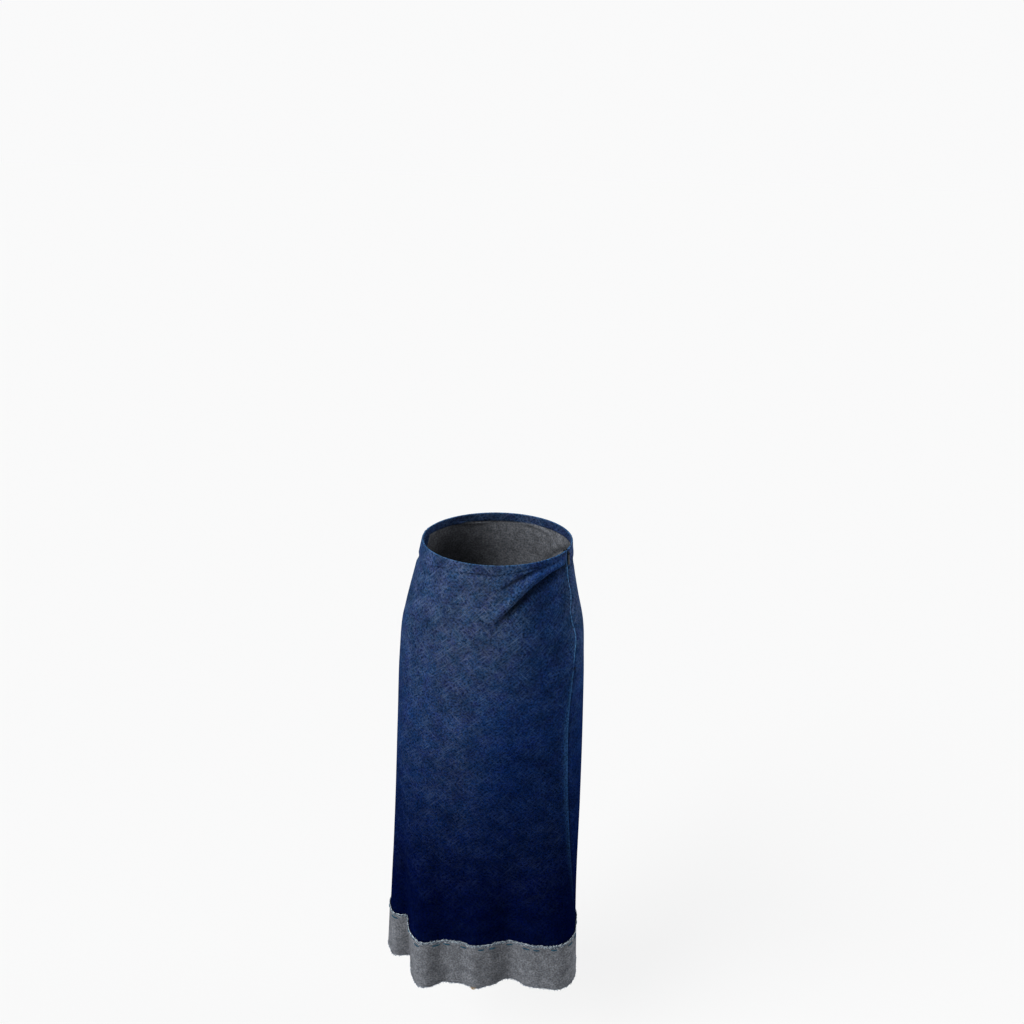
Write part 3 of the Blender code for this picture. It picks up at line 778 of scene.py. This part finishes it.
def indigo(tree, thread, crossed, grain):
    """The right side: dark at the hem and paler above, partly the dye and partly painted shade where the
    light falls off towards the hem, with pale slubs both ways and soft clouds.
    """
    position = object_place(tree)
    level = node(tree, "SeparateXYZ", {0: position}).outputs["Z"]
    height = remap(level, -LENGTH, 0.0)
    # Darker towards the hem: partly the dye, partly painted shade
    base = ramp(height, INDIGO_WITH_PAINTED_SHADE)
    tint = remap(noise(position, TINT), 0.40, 0.66)
    tinted = mixed(tint, product(base, TEAL), product(base, VIOLET))
    cloud = remap(noise(position, CLOUD, 4.0), 0.3, 0.7, *CLOUD_TONES)
    # Painted shade in sunk creases and painted highlight along raised ones, for warp and weft alike
    cloud = times(cloud, own_number(tree, "painted_crease_tone"))
    tone = times(cloud, remap(grain, 0, 1, *GRAIN_TONES))
    # The fade share holds painted light and shade as well as the dye's fade
    dye_and_painted_light = own_number(tree, "dye_and_painted_light")
    faded_and_painted_light = {axis: maths("POWER", dye_and_painted_light, power) for axis, power in zip("XYZ", FADING_WITH_PAINTED_LIGHT_POWERS)}
    faded_and_painted_light = node(tree, "CombineXYZ", faded_and_painted_light).outputs[0]
    warp = scaled(product(tinted, faded_and_painted_light), tone)
    # The weft is darker towards the hem too, partly painted shade
    weft = scaled(product(ramp(height, WEFT_GREY_WITH_PAINTED_SHADE), faded_and_painted_light), cloud)
    return mixed(times(crossed, WEFT_SHARE), warp, weft)


def wrong_side(tree, thread, crossed, grain):
    """The wrong side: pale weft with the blue warp showing through as fine specks."""
    cloud = remap(noise(object_place(tree), WRONG_CLOUD, 3.0), 0.3, 0.7, *WRONG_CLOUD_TONES)
    tone = times(cloud, remap(crossed, 0, 1, *WRONG_SLUB_TONES))
    tone = times(tone, remap(grain, 0, 1, *WRONG_GRAIN_TONES))
    speck = remap(stretched_noise(thread, *WARP_SPECK, 3.0), 0.52, 0.74, 0.0, WARP_SPECK_SHARE)
    return mixed(speck, scaled(WEFT_FACE, tone), (*WARP_SPECK_BLUE, 1))


def denim(name, outer_look, inner_look):
    """Twill cloth whose threads lie on the bias. The outer look shows on the outer face."""
    made, tree = new_finish(name)
    flat = node(tree, "UVMap", uv_map="cloth").outputs[0]
    turned = {"Vector": flat, "Rotation": (0, 0, math.radians(BIAS))}
    thread = node(tree, "Mapping", turned).outputs[0]
    patchy = remap(noise(flat, PATCH, 2.0, "2D"), 0.35, 0.65, *PATCH_SHARES)
    crossed = times(hatch(thread, LONG_SLUB), LONG_SLUB_SHARE)
    crossed = maths("MAXIMUM", crossed, times(hatch(thread, SHORT_SLUB), SHORT_SLUB_SHARE))
    flecks = remap(noise(flat, FLECK, 3.0, "2D"), 0.50, 0.72, 0.0, FLECK_SHARE)
    crossed = times(maths("MAXIMUM", crossed, flecks), patchy)
    grain = remap(noise(flat, GRAIN, 1.0, "2D"), 0.27, 0.73)
    looks = [look(tree, thread, crossed, grain) for look in (outer_look, inner_look)]
    colour = mixed(own_number(tree, "inside"), *looks)
    # Worn places and painted highlights along the left seam's edge and the waist's roll, broken by the grain
    worn_and_lit = times(own_number(tree, "wear_and_highlight"), remap(grain, 0, 1, *WEAR_AND_HIGHLIGHT_TONES))
    split = node(tree, "SeparateXYZ", {0: thread})
    run = maths("ADD", times(split.outputs["X"], TWILL_SLOPE), split.outputs["Y"])
    twill = maths("SINE", times(run, 2 * math.pi / TWILL_PITCH))
    parts = [times(part, share) for part, share in zip((twill, grain, crossed), RELIEF_SHARES)]
    relief = maths("ADD", maths("ADD", parts[0], parts[1]), parts[2])
    finish_surface(tree, mixed(worn_and_lit, colour, (*WORN_AND_HIGHLIGHT_BLUE, 1)), relief, CLOTH_BUMP, 0.9, 0.0)
    return made


def lay_panel(side, rows, columns, span, centre, worn_and_lit, cut, area):
    """A panel of the skirt, with its waist edge turned over in a half circle."""
    bearing, drop = span_grid(spaced(*rows), span, spaced(*columns))
    # The seam's wear with its painted highlight, the fade with painted light and shade, and painted crease
    # light
    looks = {
        "wear_and_highlight": seam_wear_and_highlight(bearing, drop) * worn_and_lit,
        "dye_and_painted_light": fade_and_painted_light_share(bearing, drop),
        "painted_crease_tone": painted_crease_light(bearing, drop),
        "behind_look": drop > TURNING_DEPTH,
        "roll_steps": WAIST_ROLL_STEPS,
        "centre_column": int(np.abs(bearing[0] - centre).argmin()),
    }
    name, slot = side + "_panel", side + "_denim"
    finish = denim(side + "_indigo_denim", indigo, wrong_side)
    lifts = 0.0, -wall(drop)
    lay_cloth(name + "_cloth", bearing, drop, *lifts, finish, slot, cut, name, area, 1.0, **looks)


lay_panel("front", FRONT_ROWS, FRONT_COLUMNS, front_span, FRONT_CENTRE, 1, FRONT_CUT, FRONT_AREA)


# Back panel
# The same denim on the bias, turned in at the waist. It is fuller than the front over the seat and falls
# into more flutes.
BACK_ROWS = ((0.000, 0.160, 0.330, PANEL_END), (76, 54, 80))
BACK_COLUMNS = ((0.0, 0.600, 0.975, 1.0), (100, 90, 10))
BACK_CENTRE = 270.0
BACK_CUT = (0.600, 0.790)
BACK_AREA = 0.37


def back_span(drop):
    start = RIGHT_SEAM_BEARING + in_degrees(SEAM_GAP / 2, drop)
    return start, FULL_TURN + seam_bearing(drop) - in_degrees(opening(drop) / 2, drop)


lay_panel("back", BACK_ROWS, BACK_COLUMNS, back_span, BACK_CENTRE, 0, BACK_CUT, BACK_AREA)


# Hem bands
# Two lengths of the same denim, wrong side out, so that its pale weft shows. They are lapped over the
# panels' lower edges, and their own upper and lower edges are left raw.
BAND_TOP = LENGTH - BAND_DEPTH
LAP_GAP = 0.0004
BAND_ROWS = 40
BAND_COLUMNS = 240
BAND_RELIEF = 0.6
EDGE_ROWS_SHARE = 0.125
FRONT_BAND_CUT = (0.500, 0.102)
BACK_BAND_CUT = (0.610, 0.102)

# How the raw edges wander: waves round the hem with a rate, a height and a share of the edge's phase
RAW_EDGE_WANDER = 0.0008
RAW_EDGE_WAVES = ((95, 1.0, 1), (233, 0.7, 2), (611, 0.5, 3))
UPPER_PHASE = 0.0
LOWER_PHASE = 1.7


def raw_edge(bearing, phase):
    """How far a raw edge wanders up or down: a sum of sines round the hem."""
    turn = distance_round(bearing)
    return RAW_EDGE_WANDER * sum(
        height * np.sin(turn * rate + phase * share) for rate, height, share in RAW_EDGE_WAVES
    )


def lay_band(side, span, cut):
    """The band's grid is straight in rows, and its top and bottom rows wander with the raw edges."""
    share = np.linspace(0, 1, BAND_ROWS + 1)
    drops = LENGTH - BAND_DEPTH * (1 - share)
    bearing, drop = span_grid(drops, span, np.linspace(0, 1, BAND_COLUMNS + 1))
    near_top = np.clip(1 - share / EDGE_ROWS_SHARE, 0, 1)[:, None]
    near_bottom = np.clip((share - 1) / EDGE_ROWS_SHARE + 1, 0, 1)[:, None]
    drop = drop + raw_edge(bearing, UPPER_PHASE) * near_top + raw_edge(bearing, LOWER_PHASE) * near_bottom
    finish = denim(side + "_band_denim", wrong_side, indigo)
    slot, solid = side + "_band_wrong_side", side + "_hem_band"
    lifts = LAP_GAP + CLOTH, LAP_GAP
    lay_cloth(side + "_band_cloth", bearing, drop, *lifts, finish, slot, cut, solid, None, BAND_RELIEF)


lay_band("front", front_span, FRONT_BAND_CUT)
lay_band("back", back_span, BACK_BAND_CUT)


# Zip tapes
# Two strips of black woven tape, one sewn behind each edge of the left seam, so that the closed seam hides
# them. They run from under the slider to the stop, and their ribs are woven across.
TAPE_TOP = 0.0092
TAPE_END = 0.190
TAPE_WIDTH = 0.0110
TAPE_PARTED = 0.0001
TAPE_CLOTH = 0.0006
TAPE_GAP = 0.0006
TAPE_ROWS = 120
TAPE_COLUMNS = 14
TAPE_RIB = 0.0011
TAPE_CUT = (0.0115, 0.181)
TAPE_BLACK = (0.0075, 0.0077, 0.0090)
TAPE_DUST = (0.022, 0.023, 0.027)
TAPE_DUST_SHARE = 0.5
TAPE_BUMP = (0.5, 0.0003)


def tape_reach(drop):
    """From the seam's middle to the tape's far edge, in degrees."""
    return in_degrees(opening(drop) / 2 + TAPE_WIDTH, drop)


def front_tape_span(drop):
    middle = seam_bearing(drop)
    return middle + in_degrees(TAPE_PARTED, drop), middle + tape_reach(drop)


def back_tape_span(drop):
    middle = FULL_TURN + seam_bearing(drop)
    return middle - tape_reach(drop), middle - in_degrees(TAPE_PARTED, drop)


def woven_tape(name):
    """Ribbed black tape: fine weft ribs across it, with painted shade in their hollows and a painted
    highlight on their tops, and a little dust in blots.
    """
    made, tree = new_finish(name)
    flat = node(tree, "UVMap", uv_map="cloth").outputs[0]
    split = node(tree, "SeparateXYZ", {0: flat})
    ribs = maths("SINE", times(split.outputs["Y"], 2 * math.pi / TAPE_RIB))
    warps = maths("SINE", times(split.outputs["X"], 4 * math.pi / TAPE_RIB))
    relief = maths("ADD", ribs, times(warps, 0.5))
    dust = remap(noise(flat, 0.006, 3.0, "2D"), 0.45, 0.75, 0.0, TAPE_DUST_SHARE)
    # Painted shade in the hollows and painted highlight on the ribs: the black is scaled by the relief
    black = scaled(TAPE_BLACK, remap(relief, -1.5, 1.5, 0.6, 1.5))
    finish_surface(tree, mixed(dust, black, (*TAPE_DUST, 1)), relief, TAPE_BUMP, 0.8, 0.15)
    return made


def lay_tape(name, span):
    """The tape lies under the cloth's wall by a gap, on the cloth's own form."""
    drops = np.linspace(TAPE_TOP, TAPE_END, TAPE_ROWS + 1)
    bearing, drop = span_grid(drops, span, np.linspace(0, 1, TAPE_COLUMNS + 1))
    under = wall(drop) + TAPE_GAP
    finish = woven_tape(name + "_black_weave")
    lifts = -under, -(under + TAPE_CLOTH)
    lay_cloth(name + "_woven", bearing, drop, *lifts, finish, name + "_black", TAPE_CUT, name)


lay_tape("zip_tape_front", front_tape_span)
lay_tape("zip_tape_back", back_tape_span)


# Seam allowances
# The edges of the panels and of the bands, turned in and pressed open behind each seam. Under the zip they
# start at the ends of its tapes.
ALLOWANCE_REACH = 0.0125
BAND_ALLOWANCE_REACH = 0.0095
ALLOWANCE_GAP = 0.0003
ALLOWANCE_COLUMNS = 24
ALLOWANCE_ROW = 0.004
SEAM_DIP = 0.6
SEAM_DIP_WIDTH = 0.0012
ALLOWANCE_CLEARANCE = 0.001
BAND_ALLOWANCE_CUT = (0.0225, 0.084)
BAND_ALLOWANCE_ENDS = (PANEL_END + ALLOWANCE_CLEARANCE, LENGTH - ALLOWANCE_CLEARANCE)


def right_seam(drop):
    return np.full_like(drop, RIGHT_SEAM_BEARING)


# Side, seam, drop where the panels' allowance starts, its flat size
SEAMS = (
    ("right", right_seam, TURNING_DEPTH + TURNING_STEP, (0.0262, 0.740)),
    ("left", seam_bearing, TAPE_END + ALLOWANCE_CLEARANCE, (0.0265, 0.563)),
)


def behind_panel(drop):
    return -wall(drop) - ALLOWANCE_GAP


def behind_band(drop):
    return np.full_like(drop, LAP_GAP - ALLOWANCE_GAP)


def pressed_open(name, seam, ends, reach, face, finish, cut):
    """A strip behind a seam. Its inner face dips at the seam by a share of the cloth, exp(-(s/width)^2)."""
    drops = np.linspace(*ends, int((ends[1] - ends[0]) / ALLOWANCE_ROW) + 2)[:, None]
    side = np.linspace(-reach, reach, ALLOWANCE_COLUMNS + 1)[None, :]
    bearing, drop = np.broadcast_arrays(seam(drops) + in_degrees(side, drops), drops)
    thick = CLOTH * (1 - SEAM_DIP * np.exp(-((side / SEAM_DIP_WIDTH) ** 2)))
    lifts, middle = (face(drop), face(drop) - thick), ALLOWANCE_COLUMNS // 2
    lay_cloth(name, bearing, drop, *lifts, finish, "back_denim", cut, behind_look=0.0, centre_column=middle)


back_denim, back_band_denim = (bpy.data.materials[name] for name in ("back_indigo_denim", "back_band_denim"))
for side, seam, top, cut in SEAMS:
    name, ends = side + "_seam_allowance", (top, PANEL_END)
    pressed_open(name, seam, ends, ALLOWANCE_REACH, behind_panel, back_denim, cut)
for side, seam, *_ in SEAMS:
    name, cut = side + "_band_allowance", BAND_ALLOWANCE_CUT
    pressed_open(name, seam, BAND_ALLOWANCE_ENDS, BAND_ALLOWANCE_REACH, behind_band, back_band_denim, cut)


# Zip coil
# Two spirals of black nylon wire, one sewn along the inner face of each tape at the seam. The turns of one
# lock between those of the other, so the zip is closed.
COIL_TOP = 0.0112
COIL_END = 0.1893
COIL_PITCH = 0.0013
COIL_STEPS = 8
COIL_OFFSET = 0.00055
COIL_REACH = 0.00095
COIL_DEPTH = 0.00062
COIL_WIRE = 0.00026
COIL_LIFT = -(CLOTH + TAPE_GAP + TAPE_CLOTH + 0.0011)
COIL_SIDES = 6
COIL_BLACK = ((0.010, 0.010, 0.012), (0.018, 0.018, 0.021))
YARN_FIBRE = 0.0004
YARN_BUMP = (0.4, 0.0002)


def threads(name, paths, away, radius, sides, finish):
    """Round yarns, one along each row of points: point + r (cos a across + sin a lifted).

    Across is square to the path and to the away direction, lifted is square to both, and each end is
    closed by four-sided faces.
    """
    count, steps = paths.shape[:2]
    tangent = unit(np.gradient(paths, axis=1))
    across = unit(np.cross(tangent, away))
    lifted = np.cross(across, tangent)
    turn = np.linspace(0, 2 * np.pi, sides, endpoint=False)[:, None]
    ring = np.cos(turn) * across[:, :, None] + np.sin(turn) * lifted[:, :, None]
    points = paths[:, :, None] + ring * np.asarray(radius).reshape(-1, 1, 1, 1)
    number = np.arange(count * steps * sides).reshape(count, steps, sides)
    ahead = np.roll(number, -1, axis=2)
    walls = np.stack([number[:, :-1], number[:, 1:], ahead[:, 1:], ahead[:, :-1]], axis=-1)
    caps = np.array([(j, j + 1, sides - 2 - j, sides - 1 - j) for j in range(sides // 2 - 1)])
    ends = [number[:, 0][:, caps], number[:, -1][:, caps[:, ::-1]]]
    quads = np.concatenate([walls.reshape(-1, 4)] + [end.reshape(-1, 4) for end in ends])
    return add_piece(name, points, quads, finish, "skirt", 60.0)


def yarn(name, colour, other, size, rough=0.85, shine=0.1):
    """Spun or drawn thread: its colour wanders between two, in blots of a size."""
    made, tree = new_finish(name)
    position = object_place(tree)
    share = remap(noise(position, size), 0.35, 0.65)
    colour = mixed(share, (*colour, 1), (*other, 1))
    finish_surface(tree, colour, noise(position, YARN_FIBRE), YARN_BUMP, rough, shine)
    return made


def coil(name, side, finish):
    """A spiral about a line beside the seam: a circle's turn each pitch, flattened towards the tape."""
    steps = int((COIL_END - COIL_TOP) / COIL_PITCH * COIL_STEPS)
    drop = np.linspace(COIL_TOP, COIL_END, steps + 1)
    turn = 2 * np.pi * (drop - COIL_TOP) / COIL_PITCH + (0 if side > 0 else np.pi)
    offset = side * (COIL_OFFSET + COIL_REACH * np.cos(turn))
    bearing = seam_bearing(drop) + in_degrees(offset, drop)
    path = on_cloth(bearing, drop, COIL_LIFT + COIL_DEPTH * np.sin(turn))
    along_zip = unit(np.gradient(place(seam_bearing(drop), drop), axis=0))
    piece = threads(name, path[None], along_zip[None], COIL_WIRE, COIL_SIDES, finish)


coil_nylon = yarn("zip_coil_black_nylon", *COIL_BLACK, 0.004, 0.35, 0.5)
coil("zip_coil_front", 1, coil_nylon)
coil("zip_coil_back", -1, coil_nylon)


# Zip slider, pull tab and stop
# Die-cast metal under black enamel. The slider sits behind the top of the seam with its tab on the bridge,
# and the stop is clamped over both tapes at the lower end. Their solids are as made.
ENAMEL_BLACK = (0.005, 0.005, 0.006)
ENAMEL_RUBBED = (0.060, 0.062, 0.070)
ENAMEL_RUBBED_SHARE = 0.5
ENAMEL_ROUGH = (0.38, 0.60)
ENAMEL_BUMP = (0.15, 0.0002)
ENAMEL_SHINE = 0.25


def enamel(name):
    """Black enamel, rubbed grey in small specks, with fine dents."""
    made, tree = new_finish(name)
    position = object_place(tree)
    rubbed = remap(noise(position, 0.0012, 4.0), 0.60, 0.75, 0.0, ENAMEL_RUBBED_SHARE)
    rough = remap(noise(position, 0.003, 3.0), 0.3, 0.7, *ENAMEL_ROUGH)
    colour = mixed(rubbed, (*ENAMEL_BLACK, 1), (*ENAMEL_RUBBED, 1))
    finish_surface(tree, colour, noise(position, 0.0009), ENAMEL_BUMP, rough, ENAMEL_SHINE)
    return made


for part in ("zip_slider", "zip_pull_tab", "zip_stop"):
    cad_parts[part].material_slots[0].material = enamel(part + "_black_enamel")


# Bar tack
# Close stitches of dark blue thread across the left seam, worked over the ends of the tapes just under the
# zip's stop. They keep the seam from tearing where the zip ends.
TACK_DROP = 0.1938
TACK_WIDTH = 0.0085
TACK_HEIGHT = 0.0026
TACK_STITCHES = 15
TACK_POINTS = 7
TACK_LIFT = 0.0007
TACK_SINK = 0.0001
TACK_THREAD = 0.00030
TACK_LEAN = 0.0004
TACK_WANDER = 0.0002
TACK_BLUE = ((0.004, 0.008, 0.020), (0.010, 0.020, 0.045))


def lay_threads(name, bearing, drop, lift, radius, sides, finish):
    """Yarns that lie on the cloth, one along each row of places, at a lift."""
    paths, away = on_cloth(bearing, drop, lift), outward(bearing, drop)
    threads(name, paths, away, radius, sides, finish)


number = np.arange(TACK_STITCHES)[:, None]
share = np.linspace(0, 1, TACK_POINTS)[None, :]
side = np.linspace(-0.5, 0.5, TACK_STITCHES)[:, None] * TACK_WIDTH
lean = TACK_LEAN * (share - 0.5) * (-1) ** number
drop = TACK_DROP + TACK_HEIGHT * (share - 0.5) + TACK_WANDER * np.sin(number * 2.3)
bearing = seam_bearing(drop) + in_degrees(side + lean, drop)
lift = TACK_LIFT * np.sin(np.pi * share) ** 0.5 - TACK_SINK
thread = yarn("dark_blue_thread", *TACK_BLUE, 0.002)
lay_threads("bar_tack", bearing, drop, lift, TACK_THREAD, 6, thread)


# Running stitches
# Thick teal-blue thread, sewn by hand in long even stitches just under the bands' upper raw edge. It holds
# the bands to the panels' lower edges.
STITCH_COUNT = 35
STITCH_DROP = BAND_TOP + 0.0098
STITCH_LENGTH = 0.0105
STITCH_RADIUS = 0.00105
STITCH_RISE = 0.0005
STITCH_SINK = 0.0006
STITCH_POINTS = 11
STITCH_SPACING_DRIFT = 0.18
STITCH_LENGTH_DRIFT = 0.14
STITCH_WANDER = 0.0007
STITCH_SLANT = 0.0006
STITCH_TEAL = ((0.008, 0.036, 0.064), (0.020, 0.070, 0.100))

number = np.arange(STITCH_COUNT)[:, None]
share = np.linspace(0, 1, STITCH_POINTS)[None, :]
middle = (number + STITCH_SPACING_DRIFT * np.sin(number * 2.1)) / STITCH_COUNT
reach = STITCH_LENGTH * (1 + STITCH_LENGTH_DRIFT * np.sin(number * 1.3 + 1))
turn = middle * HEM_GIRTH + reach * (share - 0.5)
slant = STITCH_SLANT * (share - 0.5) * np.cos(number)
drop = STITCH_DROP + STITCH_WANDER * np.sin(number * 1.7) + slant
bearing = bearing_at(turn)
arch = np.sin(np.pi * share) ** 0.6
lift = LAP_GAP + CLOTH - STITCH_SINK + (STITCH_SINK + STITCH_RISE) * arch
thread = yarn("teal_blue_thread", *STITCH_TEAL, 0.004)
lay_threads("running_stitches", bearing, drop, lift, STITCH_RADIUS, 8, thread)


# Frayed edges
# Weft yarns, nearly white, and indigo warp yarns stand out of the bands' raw edges, slanted as the bias
# lies. At one place of the hem a few tan yarns are pulled out as a tuft.
FRAY_POINTS = 5
FRAY_SIDES = 4
FRAY_LEAN = 42.0
FRAY_LEAN_SPREAD = 14.0
FRAY_START = (0.4, 1.2)
FRAY_CURL = (0.0001, 0.0009)
FRAY_BEND = (-0.3, 0.3)
FRAY_SPACING = (-0.45, 0.45)
FRAY_SUNK = 0.6

# Colours and slot of each kind of yarn
YARNS = {
    "white": (((0.24, 0.28, 0.31), (0.46, 0.50, 0.53)), "front_band_wrong_side"),
    "blue": (((0.006, 0.020, 0.055), (0.022, 0.070, 0.120)), "front_denim"),
}

# Name, yarn, number of yarns, length, how much it varies, how far inside the edge they start, radius, seed
UPPER_FRAYS = (
    ("band_top_fray_white", "white", 1150, 0.0038, 0.0018, 0.0016, 0.00032, 11),
    ("band_top_fray_blue", "blue", 520, 0.0032, 0.0014, 0.0020, 0.00032, 12),
    ("band_edge_fray_white", "white", 620, 0.0034, 0.0012, 0.0050, 0.00026, 15),
    ("band_edge_fray_blue", "blue", 430, 0.0022, 0.0008, 0.0046, 0.00034, 16),
)
HEM_FRAYS = (
    ("hem_fray_white", "white", 420, 0.0022, 0.0010, 0.0014, 0.00026, 13),
    ("hem_fray_blue", "blue", 560, 0.0024, 0.0012, 0.0012, 0.00030, 14),
)

TUFT_PLACE = 0.239
TUFT_YARNS = 13
TUFT_WIDTH = 0.0070
TUFT_LENGTH = 0.0042
TUFT_RADIUS = 0.00040
TUFT_FAN = 0.6
TUFT_START = 0.0022
TUFT_ROUND = 0.0012
TUFT_CURL = 0.0012
TUFT_LIFT = 0.0003
TUFT_TAN = ((0.20, 0.145, 0.090), (0.30, 0.225, 0.145))


def fray(edge_drop, phase, up, name, kind, count, length, spread, inside, radius, seed):
    """Short yarns that start a little inside a raw edge, each leaning one way or the other.

    A yarn runs its length along its lean, bent by a share of it, and curls off the cloth with the
    share of its length to the power 1.5.
    """
    chance = np.random.default_rng(seed)
    turn = (np.arange(count) + chance.uniform(*FRAY_SPACING, count))[:, None] / count * HEM_GIRTH
    reach = (length + spread * chance.uniform(-1, 1, count))[:, None]
    lean = chance.normal(FRAY_LEAN, FRAY_LEAN_SPREAD, count) * chance.choice([-1, 1], count)
    lean = np.radians(lean)[:, None]
    start = inside * chance.uniform(*FRAY_START, count)[:, None]
    curl = chance.uniform(*FRAY_CURL, count)[:, None]
    bend = chance.uniform(*FRAY_BEND, count)[:, None]
    share = np.linspace(0, 1, FRAY_POINTS)[None, :]
    sideways = reach * (np.sin(lean) * share + bend * share**2)
    rise = reach * np.cos(lean) * share - start
    drop = raw_edge(bearing_at(turn), phase) + edge_drop + (-rise if up else rise)
    bearing = bearing_at(turn + sideways)
    lift = LAP_GAP + CLOTH + radius * FRAY_SUNK + curl * share**1.5
    colours, slot = YARNS[kind]
    finish = yarn(name + "_yarn", *colours, 0.004)
    lay_threads(name, bearing, drop, lift, radius, FRAY_SIDES, finish)


def tuft(name, middle, colours):
    """A few yarns pulled out of the hem at one place, fanned out by their number."""
    number = np.linspace(-1, 1, TUFT_YARNS)[:, None]
    share = np.linspace(0, 1, FRAY_POINTS)[None, :]
    turn = middle * HEM_GIRTH + TUFT_WIDTH * number / 2 + TUFT_LENGTH * TUFT_FAN * number * share
    bearing = bearing_at(turn)
    drop = LENGTH - TUFT_START + (TUFT_LENGTH - TUFT_ROUND * number**2) * share
    lift = LAP_GAP + CLOTH + TUFT_LIFT + TUFT_CURL * share * np.cos(number * 2.6)
    finish = yarn(name + "_yarn", *colours, 0.003)
    lay_threads(name, bearing, drop, lift, TUFT_RADIUS, FRAY_SIDES, finish)


tuft("tan_tuft", TUFT_PLACE, TUFT_TAN)
for row in UPPER_FRAYS:
    fray(BAND_TOP, UPPER_PHASE, True, *row)
for row in HEM_FRAYS:
    fray(LENGTH, LOWER_PHASE, False, *row)
